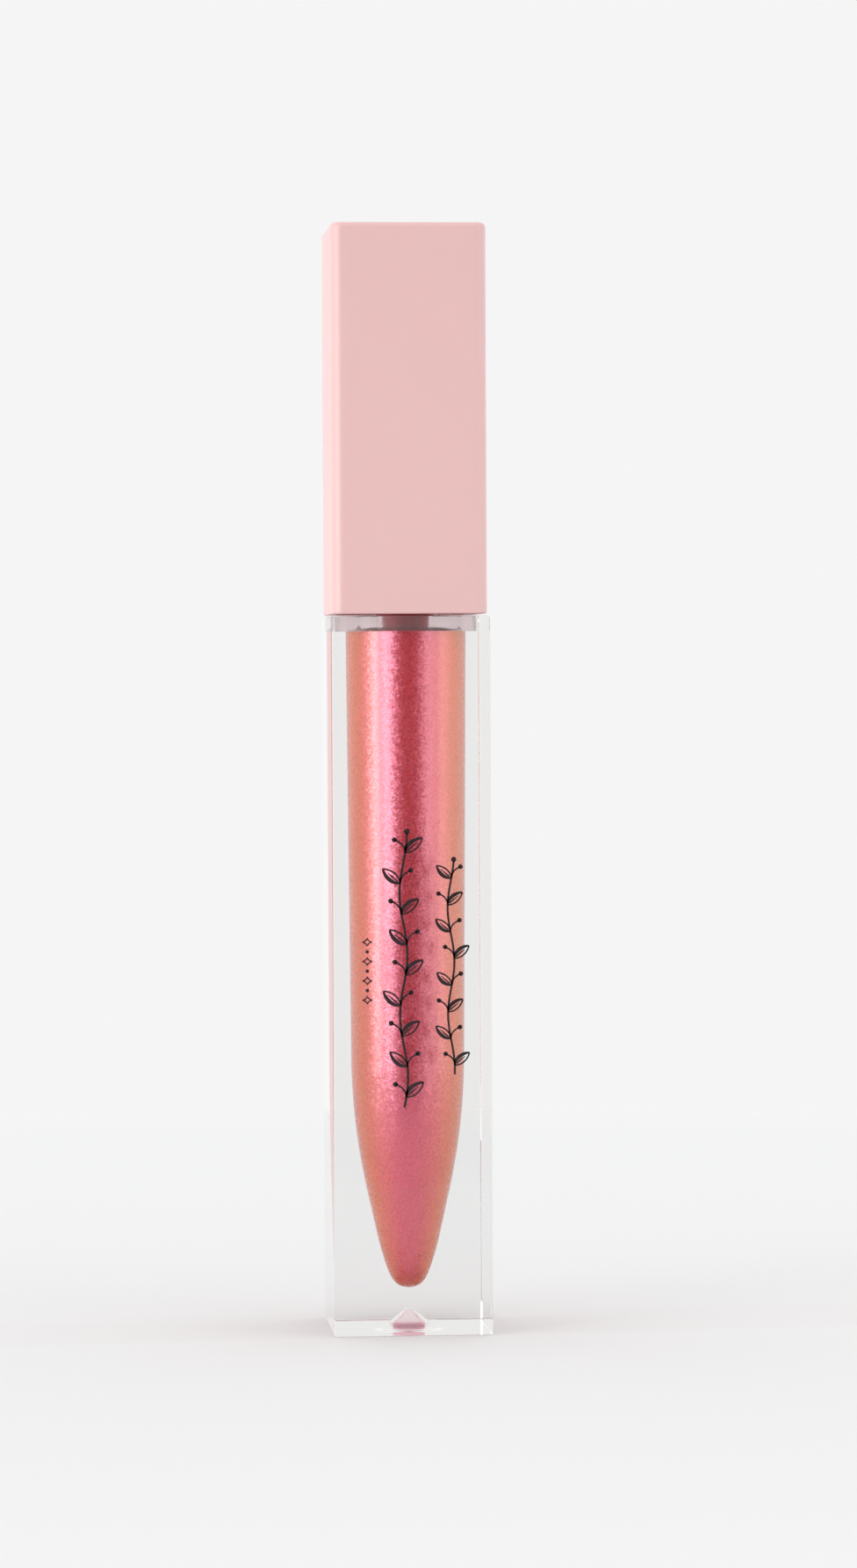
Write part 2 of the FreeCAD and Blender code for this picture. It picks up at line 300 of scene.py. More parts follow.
# ------------------------------------------------------------------ materials
def clear_material():
    m, nt, p = material("clear_plastic")
    k = Kit(nt)
    setp(p, trans=1.0, rough=0.0, ior=1.21)
    # the gate recess under the base is left spark-eroded and rougher; its pink colour is a painted reflection of the
    # gloss above it, darker pink towards the recess's mouth
    sep = k.node("ShaderNodeSeparateXYZ")
    k.link(k.coords(), sep.inputs[0])
    rad = k.math("SQRT", k.math("ADD", k.math("MULTIPLY", sep.outputs["X"], sep.outputs["X"]),
                                k.math("MULTIPLY", sep.outputs["Y"], sep.outputs["Y"])))
    gate = k.math("MULTIPLY", k.maprange(rad, 0.00208, 0.0023, 1.0, 0.0, "SMOOTHSTEP"),
                  k.maprange(sep.outputs["Z"], 0.0021, 0.0026, 1.0, 0.0, "SMOOTHSTEP"))
    reflection_darker_low = k.maprange(sep.outputs["Z"], 0.0003, 0.0013, 1.0, 0.0, "SMOOTHSTEP")
    # painted reflection of the gloss: light pink at the tip of the recess, darker pink towards its mouth
    painted_gloss_reflection = k.mix(reflection_darker_low, (0.93, 0.83, 0.86), (0.74, 0.31, 0.41))
    k.link(k.mix(gate, (0.905, 0.90, 0.895), painted_gloss_reflection), p.inputs["Base Color"])
    # faint flow waviness of a thick moulding, and hairline handling marks
    wav = k.noise(160.0, 2.0, 0.5, k.coords((1, 1, 0.35)))
    p_n = k.bump(wav, 0.05, 0.00006)
    k.link(p_n, p.inputs["Normal"])
    rr = k.maprange(k.noise(900.0, 3.0, 0.6), 0.35, 0.8, 0.0, 0.035)
    k.link(k.math("ADD", rr, k.math("MULTIPLY", gate, 0.35)), p.inputs["Roughness"])
    return m


def insert_material():
    """Natural, slightly milky plastic; gloss has crept over the bore and the dished underside."""
    m, nt, p = material("clear_insert")
    k = Kit(nt)
    setp(p, trans=0.88, rough=0.16, ior=1.24)
    co = k.coords()
    sep = k.node("ShaderNodeSeparateXYZ")
    k.link(co, sep.inputs[0])
    rad = k.math("SQRT", k.math("ADD", k.math("MULTIPLY", sep.outputs["X"], sep.outputs["X"]),
                                k.math("MULTIPLY", sep.outputs["Y"], sep.outputs["Y"])))
    wave = k.math("MULTIPLY", k.math("SUBTRACT", k.noise(420.0, 3.0, 0.6, co), 0.5), 0.0012)
    inner = k.maprange(k.math("ADD", rad, wave), 0.0041, 0.0056, 1.0, 0.0, "SMOOTHSTEP")
    below = k.maprange(sep.outputs["Z"], 0.0768, 0.0780, 1.0, 0.0, "SMOOTHSTEP")
    cloud = k.ramp(k.noise(260.0, 3.0, 0.5, co), [(0.35, (0.895, 0.745, 0.77)), (0.65, (0.915, 0.775, 0.80))])
    k.link(k.mix(k.math("MULTIPLY", inner, below), cloud, (1.0, 0.30, 0.36)), p.inputs["Base Color"])
    k.link(k.maprange(k.noise(1400.0, 3.0, 0.6, co), 0.3, 0.8, 0.14, 0.20), p.inputs["Roughness"])
    k.link(k.bump(k.noise(700.0, 2.0, 0.5, co), 0.08, 0.00003), p.inputs["Normal"])
    return m


def wiper_material():
    m, nt, p = material("wiper_plastic")
    k = Kit(nt)
    setp(p, trans=0.3, rough=0.28, ior=1.51, sss=0.2, ssss=0.001)
    # gloss smeared over the sleeve from the lip up
    sep = k.node("ShaderNodeSeparateXYZ")
    k.link(k.coords(), sep.inputs[0])
    low = k.maprange(sep.outputs["Z"], 0.0768, 0.0800, 1.0, 0.0, "SMOOTHSTEP")
    smear = k.math("MULTIPLY", low, k.maprange(k.noise(900.0, 3.0, 0.6), 0.2, 0.5, 0.65, 1.0))
    col = k.mix(smear, (0.90, 0.84, 0.82), (1.0, 0.09, 0.14))
    k.link(col, p.inputs["Base Color"])
    k.link(k.maprange(k.noise(2000.0, 2.0, 0.5), 0.3, 0.7, 0.22, 0.36), p.inputs["Roughness"])
    return m


def gloss_material():
    m, nt, p = material("pearl_gloss")
    k = Kit(nt)
    setp(p, rough=0.36, ior=3.4, film=263.0, filmi=2.4, metal=0.0, coat=0.6, coatr=0.24)
    p.inputs["Coat IOR"].default_value = 1.7
    co = k.coords()
    stretch = k.coords((1, 1, 0.55))
    # mica flakes: each cell tilts its own way and has its own tint
    cells = k.voronoi(6600.0, co, "Color")
    sep = k.node("ShaderNodeSeparateColor")
    k.link(cells, sep.inputs[0])
    swirl = k.noise(420.0, 4.0, 0.6, stretch, distortion=0.6)
    base = k.ramp(k.math("ADD", k.math("MULTIPLY", sep.outputs[0], 0.55), k.math("MULTIPLY", swirl, 0.45)),
                  [(0.15, (0.64, 0.022, 0.022)), (0.5, (0.70, 0.030, 0.028)), (0.85, (0.80, 0.060, 0.045))])
    k.link(base, p.inputs["Base Color"])
    rr = k.maprange(sep.outputs[1], 0.0, 1.0, 0.24, 0.36)
    k.link(rr, p.inputs["Roughness"])
    fine = k.noise(6500.0, 2.0, 0.6, co)
    geo = k.node("ShaderNodeNewGeometry")
    tilt = k.node("ShaderNodeVectorMath", operation="MULTIPLY_ADD")
    k.link(cells, tilt.inputs[0])
    tilt.inputs[1].default_value = (0.19, 0.19, 0.19)
    shift = k.node("ShaderNodeVectorMath", operation="ADD")
    k.link(geo.outputs["Normal"], shift.inputs[0])
    shift.inputs[1].default_value = (-0.095, -0.095, -0.095)
    k.link(shift.outputs[0], tilt.inputs[2])
    unit = k.node("ShaderNodeVectorMath", operation="NORMALIZE")
    k.link(tilt.outputs[0], unit.inputs[0])
    k.link(k.bump(fine, 0.08, 0.00004, unit.outputs[0]), p.inputs["Normal"])
    return m


def cap_material():
    m, nt, p = material("satin_pink")
    k = Kit(nt)
    setp(p, rough=0.34, ior=1.52, sss=0.12, ssss=0.0012)
    p.inputs["Subsurface Radius"].default_value = (1.0, 0.45, 0.4)
    co = k.coords()
    cloud = k.noise(55.0, 3.0, 0.5, co)
    grain = k.noise(5200.0, 3.0, 0.65, co)
    col = k.ramp(k.math("ADD", k.math("MULTIPLY", cloud, 0.6), k.math("MULTIPLY", grain, 0.4)),
                 [(0.3, srgb(225, 186, 184)), (0.7, srgb(229, 189, 187))])
    k.link(col, p.inputs["Base Color"])
    k.link(k.maprange(k.noise(1500.0, 3.0, 0.6, co), 0.3, 0.7, 0.30, 0.40), p.inputs["Roughness"])
    n = k.bump(grain, 0.10, 0.00002)
    k.link(k.bump(k.noise(300.0, 2.0, 0.5, co), 0.04, 0.00005, n), p.inputs["Normal"])
    return m


def white_plastic():
    m, nt, p = material("natural_white_plastic")
    k = Kit(nt)
    setp(p, rough=0.3, ior=1.5, sss=0.25, ssss=0.0015)
    p.inputs["Subsurface Radius"].default_value = (1.0, 0.9, 0.8)
    co = k.coords()
    col = k.ramp(k.noise(240.0, 3.0, 0.5, co), [(0.3, (0.84, 0.82, 0.79)), (0.7, (0.90, 0.885, 0.86))])
    k.link(col, p.inputs["Base Color"])
    k.link(k.maprange(k.noise(1800.0, 3.0, 0.6, co), 0.3, 0.7, 0.24, 0.36), p.inputs["Roughness"])
    k.link(k.bump(k.noise(2600.0, 2.0, 0.5, co), 0.06, 0.00002), p.inputs["Normal"])
    return m


def rod_material():
    """White rod, coated with gloss over the length that stands in the bottle."""
    m, nt, p = material("wand_rod_plastic")
    k = Kit(nt)
    setp(p, rough=0.2, ior=1.5, coat=0.6, coatr=0.08)
    co = k.coords()
    sep = k.node("ShaderNodeSeparateXYZ")
    k.link(co, sep.inputs[0])
    streak = k.noise(900.0, 3.0, 0.6, k.coords((1, 1, 0.08)))
    lowz = k.maprange(sep.outputs["Z"], 0.030, 0.078, 1.0, 0.0, "SMOOTHSTEP")
    wet = k.maprange(k.math("ADD", lowz, k.math("MULTIPLY", k.math("SUBTRACT", streak, 0.5), 1.1)), 0.35, 0.85, 0.0, 1.0)
    film = k.ramp(k.noise(4200.0, 2.0, 0.5, co), [(0.3, (0.62, 0.13, 0.15)), (0.7, (0.80, 0.30, 0.28))])
    col = k.mix(wet, (0.88, 0.86, 0.84), film)
    k.link(col, p.inputs["Base Color"])
    k.link(k.maprange(wet, 0.0, 1.0, 0.28, 0.16), p.inputs["Roughness"])
    k.link(k.bump(streak, 0.25, 0.00008), p.inputs["Normal"])
    return m


def foam_material():
    m, nt, p = material("liner_foam")
    k = Kit(nt)
    setp(p, rough=0.7, ior=1.45)
    co = k.coords()
    v = k.voronoi(6500.0, co, "Distance")
    k.link(k.ramp(v, [(0.0, (0.80, 0.80, 0.78)), (0.6, (0.90, 0.90, 0.88))]), p.inputs["Base Color"])
    k.link(k.bump(v, 0.4, 0.00004), p.inputs["Normal"])
    return m


def flock_material():
    m, nt, p = material("flock")
    k = Kit(nt)
    setp(p, rough=0.5, ior=1.5, sheen=0.5, sheenr=0.4, sheent=(1.0, 0.75, 0.7), coat=0.35, coatr=0.2)
    co = k.coords()
    c = k.ramp(k.noise(2600.0, 3.0, 0.6, co), [(0.3, (0.50, 0.09, 0.11)), (0.55, (0.68, 0.20, 0.20)), (0.8, (0.82, 0.40, 0.37))])
    k.link(c, p.inputs["Base Color"])
    k.link(k.bump(k.noise(9000.0, 2.0, 0.6, co), 0.5, 0.00005), p.inputs["Normal"])
    return m


def ink_material():
    m, nt, p = material("print_ink")
    k = Kit(nt)
    setp(p, rough=0.35, ior=1.5)
    co = k.coords()
    k.link(k.ramp(k.noise(7000.0, 3.0, 0.6, co), [(0.3, (0.012, 0.008, 0.010)), (0.75, (0.035, 0.020, 0.024))]), p.inputs["Base Color"])
    k.link(k.maprange(k.noise(5000.0, 2.0, 0.5, co), 0.3, 0.7, 0.28, 0.5), p.inputs["Roughness"])
    k.link(k.bump(k.noise(9000.0, 2.0, 0.5, co), 0.2, 0.00001), p.inputs["Normal"])
    return m


CLEAR = clear_material()
INSERT = insert_material()
WIPER = wiper_material()
GLOSS = gloss_material()
CAP = cap_material()
WHITE = white_plastic()
ROD = rod_material()
FOAM = foam_material()
FLOCK = flock_material()
INK = ink_material()


def dress(ob, mat):
    ob.data.materials.clear()
    ob.data.materials.append(mat)


# ------------------------------------------------------------------ bottle
bh = hi("bottle_body")
HALF = bh.x / MM - 0.01            # the print stands on the face, inside the bottle's own box
TOP = bh.z / MM
EDGE, RIM, FOOT_R = 0.30, 0.28, 0.16
SEAT_Z = TOP - 1.65
CHAMBER = [
    (0.00, 4.40), (0.85, 4.57), (1.33, 4.85), (1.66, 5.20), (2.00, 5.78),
    (2.30, 6.50), (2.60, 7.40), (3.05, 8.90), (3.90, 12.60), (4.72, 16.35),
    (5.38, 20.10), (5.82, 23.90), (6.07, 28.20),
]
CHAMBER_TOP = (6.45, SEAT_Z)
_k = 4.0 / (CHAMBER_TOP[1] - CHAMBER[-1][1])
_after = (CHAMBER[-1][0] + (CHAMBER_TOP[0] - CHAMBER[-1][0]) * _k, CHAMBER[-1][1] + 4.0)
CHAMBER_LINE = spline(CHAMBER, (-CHAMBER[1][0], CHAMBER[1][1]), _after, 6)
for _i in range(1, 13):
    CHAMBER_LINE.append((CHAMBER[-1][0] + (CHAMBER_TOP[0] - CHAMBER[-1][0]) * _i / 12.0,
                         CHAMBER[-1][1] + (CHAMBER_TOP[1] - CHAMBER[-1][1]) * _i / 12.0))


def sq(half, r, z):
    return square_ring(half * MM, r * MM, z * MM)


REF = sq(HALF, EDGE, 0)


def cr(radius, z):
    return circle_like(REF, radius * MM, z * MM)


rings = []
# gate recess under the base, then the shallow ring
for r, z in [(0.12, 2.10), (0.30, 2.095), (0.45, 2.04), (0.55, 1.95), (1.07, 1.55), (1.58, 1.15), (1.98, 0.83),
             (2.07, 0.73), (2.10, 0.62), (2.10, 0.30), (2.12, 0.17), (2.18, 0.12), (2.8, 0.12), (3.58, 0.12),
             (3.66, 0.09), (3.70, 0.03), (3.76, 0.0), (5.2, 0.0), (6.6, 0.0)]:
    rings.append(cr(r, z))
for k_ in range(0, 9):
    w = math.pi / 2 * k_ / 8
    inset = FOOT_R * (1 - math.sin(w))
    rings.append(sq(HALF - inset, EDGE - inset, FOOT_R * (1 - math.cos(w))))
for z in (12.0, 24.0, 36.0, 48.0, 60.0, 72.0):
    rings.append(sq(HALF, EDGE, z))
for k_ in range(0, 7):
    w = math.pi / 2 * k_ / 6
    inset = RIM * (1 - math.cos(w))
    rings.append(sq(HALF - inset, EDGE - inset, TOP - RIM + RIM * math.sin(w)))
# the flange is welded in: its rim stands 0.02 mm inside the seat's wall, with no air between
rings.append(cr(7.70, TOP))
rings.append(cr(7.66, TOP - 0.02))
rings.append(cr(7.63, TOP - 0.07))
rings.append(cr(7.63, SEAT_Z + 0.08))
rings.append(cr(7.61, SEAT_Z + 0.02))
rings.append(cr(7.55, SEAT_Z))
rings.append(cr(7.0, SEAT_Z))
for r, z in reversed(CHAMBER_LINE[1:]):
    rings.append(cr(r, z))
v, f = loft(rings, first=Vector((0, 0, 2.10 * MM)), last=Vector((0, 0, CHAMBER_LINE[0][1] * MM)))
bottle = new_object("bottle_clear", v, f)
dress(bottle, CLEAR)
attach(bottle, "bottle")
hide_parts("bottle_body")

# ------------------------------------------------------------------ gloss
WET = 0.025                        # the liquid wets the wall: no air between them
prof = []
L = CHAMBER_LINE
for i, (r, z) in enumerate(L):
    a, b = L[max(i - 1, 0)], L[min(i + 1, len(L) - 1)]
    dr, dz = (1.0, 0.0) if i == 0 else (b[0] - a[0], b[1] - a[1])
    d = math.hypot(dr, dz)
    prof.append((0.0 if i == 0 else r + WET * dz / d, z - WET * dr / d))
top_z = SEAT_Z + 0.005
prof.append((6.44, top_z))
for k_ in range(1, 9):
    r = 6.40 - (6.40 - 3.08) * k_ / 8.0
    prof.append((r, top_z + 0.025 + 0.40 * math.sin((6.40 - r) / (6.40 - 3.08) * math.pi / 2)))
prof.append((1.5, top_z + 0.425))
prof.append((0.0, top_z + 0.425))
gloss = revolve("gloss_fill", prof, 144)
dress(gloss, GLOSS)
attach(gloss, "bottle")
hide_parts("gloss")

# ------------------------------------------------------------------ cap shell
CH = hi("cap_shell")
CL = lo("cap_shell")
CHALF, CB, CT = CH.x / MM, CL.z / MM, CH.z / MM
CE, CTR, WALL, ROOF, CIR = 1.25, 0.50, 1.25, 1.60, 0.60
rings = []
inner = CHALF - WALL
for k_ in range(0, 7):             # mouth rim, rounded out of the bore
    w = math.pi / 2 * k_ / 6
    rings.append(sq(inner + 0.15 * (1 - math.sin(w)), CIR + 0.15 * (1 - math.sin(w)), CB + 0.15 * (1 - math.cos(w))))
rings.reverse()
rings = list(reversed([sq(inner, CIR, z) for z in (CB + 6, CB + 18, CB + 30)])) + rings
rings.insert(0, sq(inner, CIR, CT - ROOF - 0.2))
rings.insert(0, sq(inner - 0.2, CIR - 0.2, CT - ROOF))
rings.insert(0, sq(inner - 2.0, 0.2, CT - ROOF))
for k_ in range(0, 7):
    w = math.pi / 2 * k_ / 6
    i_ = 0.20 * (1 - math.sin(w))
    rings.append(sq(CHALF - i_, CE - i_, CB + 0.20 * (1 - math.cos(w))))
for z in (CB + 10, CB + 20, CB + 30):
    rings.append(sq(CHALF, CE, z))
for k_ in range(0, 11):
    w = math.pi / 2 * k_ / 10
    i_ = CTR * (1 - math.cos(w))
    rings.append(sq(CHALF - i_, CE - i_, CT - CTR + CTR * math.sin(w)))
rings.append(sq(CHALF - 3.0, 0.3, CT))
v, f = loft(rings, first=Vector((0, 0, (CT - ROOF) * MM)), last=Vector((0, 0, CT * MM)))
cap = new_object("cap_outer", v, f)
dress(cap, CAP)
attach(cap, "cap")
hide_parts("cap_shell")


# corner ribs inside the cap
def bevel_box(name, x0, x1, y0, y1, z0, z1, bev, turn=0.0):
    bm = bmesh.new()
    bmesh.ops.create_cube(bm, size=1.0)
    for vv in bm.verts:
        vv.co = Vector(((x0 + x1) / 2 + vv.co.x * (x1 - x0), (y0 + y1) / 2 + vv.co.y * (y1 - y0),
                        (z0 + z1) / 2 + vv.co.z * (z1 - z0))) * MM
    bmesh.ops.bevel(bm, geom=list(bm.edges), offset=bev * MM, segments=3, profile=0.5, affect="EDGES")
    bmesh.ops.rotate(bm, verts=bm.verts, cent=(0, 0, 0), matrix=Matrix.Rotation(turn, 3, "Z"))
    me = bpy.data.meshes.new(name)
    for ff in bm.faces:
        ff.smooth = True
    bm.to_mesh(me)
    bm.free()
    ob = bpy.data.objects.new(name, me)
    bpy.context.scene.collection.objects.link(ob)
    md = ob.modifiers.new("normals", "WEIGHTED_NORMAL")
    md.weight = 100
    return ob


for q in range(4):
    rib = bevel_box("cap_rib_%d" % (q + 1), 6.96, 9.75, -0.45, 0.45, CB + 1.6, CT - ROOF + 0.2, 0.08,
                    math.radians(45 + 90 * q))
    dress(rib, CAP)
    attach(rib, "cap")

# ------------------------------------------------------------------ CAD nodes that stay
for n, mat in (("neck_insert", INSERT), ("wiper", WIPER), ("inner_cap", WHITE), ("seal_liner", FOAM),
               ("wand_rod", ROD), ("applicator_core", ROD)):
    dress(NODES[n], mat)

# ------------------------------------------------------------------ flocked tip
rng = random.Random(11)
fb_lo, fb_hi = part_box("applicator_flock")
R_F = fb_hi.y / MM - 0.06
Z0, Z1 = fb_lo.z / MM, fb_hi.z / MM
TOPS, FOOT = 22.40, -0.90
TIP_Z = 12.60


def paddle_rings(radius, z0, z1, shrink, n=64, m=46):
    """The slanted paddle as rings of a cylinder whose one side is planed off."""
    rows = []
    dome = radius * 0.82
    foot = Vector((FOOT - shrink, 0, TIP_Z))
    top = Vector((2.25 - shrink, 0, TOPS))
    for j in range(m + 1):
        t = j / m
        z = z0 + (z1 - z0) * (t ** 1.25)
        if z < z0 + dome:
            u = 1 - (z - z0) / dome
            rr = radius - dome + dome * math.sqrt(max(0.0, 1 - u * u))
        else:
            rr = radius
        if z > z1 - 0.25:
            rr -= 0.25 * (1 - math.sqrt(max(0.0, 1 - ((z - (z1 - 0.25)) / 0.25) ** 2))) * 0.8
        xmax = foot.x + (top.x - foot.x) * (z - foot.z) / (top.z - foot.z)
        ring = []
        for i in range(n):
            a = 2 * math.pi * i / n
            x, y = rr * math.cos(a), rr * math.sin(a)
            if x > xmax:               # planed face, its edge eased
                over = x - xmax
                x = xmax + 0.10 * (1 - math.exp(-over / 0.3))
            ring.append(Vector((x * MM, y * MM, z * MM)))
        rows.append(ring)
    return rows


rows = paddle_rings(R_F - 0.02, TIP_Z + 0.10, Z1, 0.0)
v, f = loft(rows, first=Vector((rows[0][0].x * 0 + (-0.9) * MM, 0, (TIP_Z + 0.10) * MM)),
            last=Vector((0, 0, Z1 * MM)))
pad = new_object("flock_pad", v, f, sharp=80)
dress(pad, FLOCK)
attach(pad, "cap")
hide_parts("applicator_flock")

# short fibres standing on the pad
bpy.context.view_layer.update()
me = pad.data
verts, faces = [], []
polys = [(p.center.copy(), p.normal.copy(), p.area) for p in me.polygons if p.area > 0]
total = sum(a for _, _, a in polys)
FIBRES = 5200
for c, nrm, area in polys:
    want = FIBRES * area / total
    cnt = int(want) + (1 if rng.random() < want - int(want) else 0)
    if c.z > (Z1 - 0.15) * MM:
        continue
    t1 = nrm.orthogonal().normalized()
    t2 = nrm.cross(t1)
    side = math.sqrt(area)
    for _ in range(cnt):
        base = c + t1 * (rng.random() - 0.5) * side + t2 * (rng.random() - 0.5) * side
        lean = t1 * rng.uniform(-0.5, 0.5) + t2 * rng.uniform(-0.5, 0.5)
        tip = base + (nrm + lean).normalized() * rng.uniform(0.045, 0.075) * MM
        if math.hypot(tip.x, tip.y) > 2.19 * MM or tip.z < (Z0 + 0.0) * MM:
            continue
        w = 0.012 * MM
        o = len(verts)
        for q in range(3):
            a = 2 * math.pi * q / 3
            verts.append(base - nrm * 0.02 * MM + (t1 * math.cos(a) + t2 * math.sin(a)) * w)
        verts.append(tip)
        faces += [(o, o + 1, o + 3), (o + 1, o + 2, o + 3), (o + 2, o, o + 3), (o, o + 2, o + 1)]
fm = bpy.data.meshes.new("flock_fibres")
fm.from_pydata([tuple(x) for x in verts], [], faces)
fibres = bpy.data.objects.new("flock_fibres", fm)
bpy.context.scene.collection.objects.link(fibres)
dress(fibres, FLOCK)
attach(fibres, "cap")

# ------------------------------------------------------------------ printed ornament
INK_Y0, INK_Y1 = -(HALF - 0.002), -(bh.x / MM - 0.001)
ink_v, ink_f = [], []


def ribbon(pts, widths):
    """A flat stroke in the XZ plane with its own width at each point."""
    n = len(pts)
    left, right = [], []
    for i in range(n):
        a, b = pts[max(i - 1, 0)], pts[min(i + 1, n - 1)]
        d = Vector((b[0] - a[0], b[1] - a[1]))
        d.normalize()
        nx, nz = -d.y, d.x
        w = widths[i] / 2
        left.append((pts[i][0] + nx * w, pts[i][1] + nz * w))
        right.append((pts[i][0] - nx * w, pts[i][1] - nz * w))
    add_strip(left, right)


def add_strip(left, right):
    n = len(left)
    o = len(ink_v)
    for y in (INK_Y0, INK_Y1):
        for side in (left, right):
            ink_v.extend((x * MM, y * MM, z * MM) for x, z in side)
    L0, R0, L1, R1 = o, o + n, o + 2 * n, o + 3 * n
    for i in range(n - 1):
        ink_f.append((L0 + i, L0 + i + 1, R0 + i + 1, R0 + i))
        ink_f.append((L1 + i, R1 + i, R1 + i + 1, L1 + i + 1))
        ink_f.append((L0 + i, L1 + i, L1 + i + 1, L0 + i + 1))
        ink_f.append((R0 + i, R0 + i + 1, R1 + i + 1, R1 + i))
    ink_f.append((L0, R0, R1, L1))
    ink_f.append((L0 + n - 1, L1 + n - 1, R1 + n - 1, R0 + n - 1))


def bez(p0, p1, p2, p3, n=14):
    out = []
    for i in range(n + 1):
        t = i / n
        a, b, c, d = (1 - t) ** 3, 3 * t * (1 - t) ** 2, 3 * t * t * (1 - t), t ** 3
        out.append((a * p0[0] + b * p1[0] + c * p2[0] + d * p3[0], a * p0[1] + b * p1[1] + c * p2[1] + d * p3[1]))
    return out


def leaf(x, z, ang, length, width, thick, thin):
    """Outline of a leaf, one side drawn heavier, with a midrib."""
    ca, sa = math.cos(ang), math.sin(ang)

    def at(u, w):
        return (x + u * ca - w * sa, z + u * sa + w * ca)
    up = bez(at(0, 0), at(length * 0.25, width), at(length * 0.7, width * 0.9), at(length, 0), 16)
    dn = bez(at(0, 0), at(length * 0.25, -width), at(length * 0.7, -width * 0.9), at(length, 0), 16)
    n = len(up)
    ribbon(up, [thin + (thick - thin) * math.sin(math.pi * i / (n - 1)) for i in range(n)])
    ribbon(dn, [thin] * n)
    ribbon([at(length * 0.12, 0), at(length * 0.4, width * 0.04), at(length * 0.72, 0)], [thin * 0.9, thin, thin * 0.4])


def dot(x, z, r):
    n = 18
    left = [(x + r * math.cos(math.pi * i / n), z + r * math.sin(math.pi * i / n)) for i in range(n + 1)]
    right = [(x + r * math.cos(-math.pi * i / n), z + r * math.sin(-math.pi * i / n)) for i in range(n + 1)]
    left[0] = right[0] = (x + r, z)
    left = [(a, b + 1e-4) for a, b in left]
    right = [(a, b - 1e-4) for a, b in right]
    add_strip(left, right)


def sprig(xc, z0, z1, half_w, pairs, thick, thin, phase=0.0):
    h = z1 - z0
    n = 80

    def stem(t):
        return (xc + half_w * 0.22 * math.sin(phase + t * math.pi * pairs * 0.5), z0 + h * t)
    ribbon([stem(i / n) for i in range(n + 1)], [thin * 1.3] * (n + 1))
    step = h / pairs
    for i in range(pairs):
        t = (i + 0.35) / pairs
        sx, sz = stem(t)
        side = 1 if i % 2 == 0 else -1
        ang = math.pi / 2 - side * math.radians(50)
        ln = min(step * 0.98, half_w * 1.30)
        leaf(sx, sz, ang, ln, half_w * 0.33, thick, thin)
        # a small bud on the other side
        bx, bz = sx - side * half_w * 0.62, sz + step * 0.42
        ribbon(bez((sx, sz + step * 0.05), (sx - side * half_w * 0.1, sz + step * 0.3),
                   (sx - side * half_w * 0.4, sz + step * 0.36), (bx, bz), 10), [thin] * 11)
        dot(bx, bz, thick * 0.62)
    tx, tz = stem(1.0)
    dot(tx, tz + thick * 0.3, thick * 0.7)


sprig(-0.92, 24.4, 53.7, 1.85, 9, 0.44, 0.19)
sprig(4.15, 27.9, 50.7, 1.58, 8, 0.40, 0.17, 1.2)
for k_ in range(7):
    zc = 35.9 + k_ * 1.03
    if k_ % 2 == 0:
        n_ = 20
        dia = [(-4.81 + 0.52 * math.cos(2 * math.pi * i / n_) ** 3, zc + 0.42 * math.sin(2 * math.pi * i / n_) ** 3)
               for i in range(n_ + 1)]
        ribbon(dia, [0.14] * (n_ + 1))
    else:
        dot(-4.81, zc, 0.19)

ink = new_object("print_ornament", ink_v, ink_f, smooth=False, weighted=False)
dress(ink, INK)
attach(ink, "bottle")

# ------------------------------------------------------------------ floor
fm = bpy.data.meshes.new("floor")
bm = bmesh.new()
rim_v = [bm.verts.new((0.23 * math.cos(2 * math.pi * i / 120), 0.055 + 0.225 * math.sin(2 * math.pi * i / 120), 0.0))
         for i in range(120)]
bm.faces.new(rim_v)
bm.to_mesh(fm)
bm.free()
floor = bpy.data.objects.new("floor", fm)
floor.location = (0, 0, -0.00003)
bpy.context.scene.collection.objects.link(floor)
m, nt, p = material("floor_pale")
k = Kit(nt)
setp(p, rough=0.9, spec=0.0)
FLOOR = (0.833, 0.836, 0.838)
sep = k.node("ShaderNodeSeparateXYZ")
k.link(k.coords(), sep.inputs[0])
# painted shadow: a faint darker strip across the floor at the bottle's base, slightly skewed, fading out to the sides
yy = k.math("ADD", sep.outputs["Y"], k.math("MULTIPLY", sep.outputs["X"], -0.07))
painted_shadow_band = k.math("MULTIPLY", k.maprange(yy, -0.0095, -0.0078, 0.0, 1.0, "SMOOTHSTEP"),
              k.maprange(yy, 0.006, 0.016, 1.0, 0.0, "SMOOTHSTEP"))
painted_shadow_band = k.math("MULTIPLY", painted_shadow_band, k.maprange(k.math("ABSOLUTE", sep.outputs["X"]), 0.056, 0.080, 1.0, 0.0, "SMOOTHSTEP"))
gap = k.math("SUBTRACT", sep.outputs["Y"], 0.055)
away = k.math("SQRT", k.math("ADD", k.math("MULTIPLY", sep.outputs["X"], sep.outputs["X"]), k.math("MULTIPLY", gap, gap)))
pale = k.mix(k.maprange(away, 0.17, 0.225, 0.0, 1.0, "SMOOTHSTEP"), FLOOR, (0.848, 0.848, 0.848))
col = k.mix(painted_shadow_band, pale, (0.824, 0.819, 0.822))
k.link(col, p.inputs["Base Color"])
dress(floor, m)

# ------------------------------------------------------------------ studio
world = bpy.data.worlds.new("studio")
bpy.context.scene.world = world
world.use_nodes = True
nt = world.node_tree
nt.nodes.clear()
k = Kit(nt)
tc = k.node("ShaderNodeTexCoord")
D = tc.outputs["Generated"]


BACK = 0.915
TOP_L = 1.05
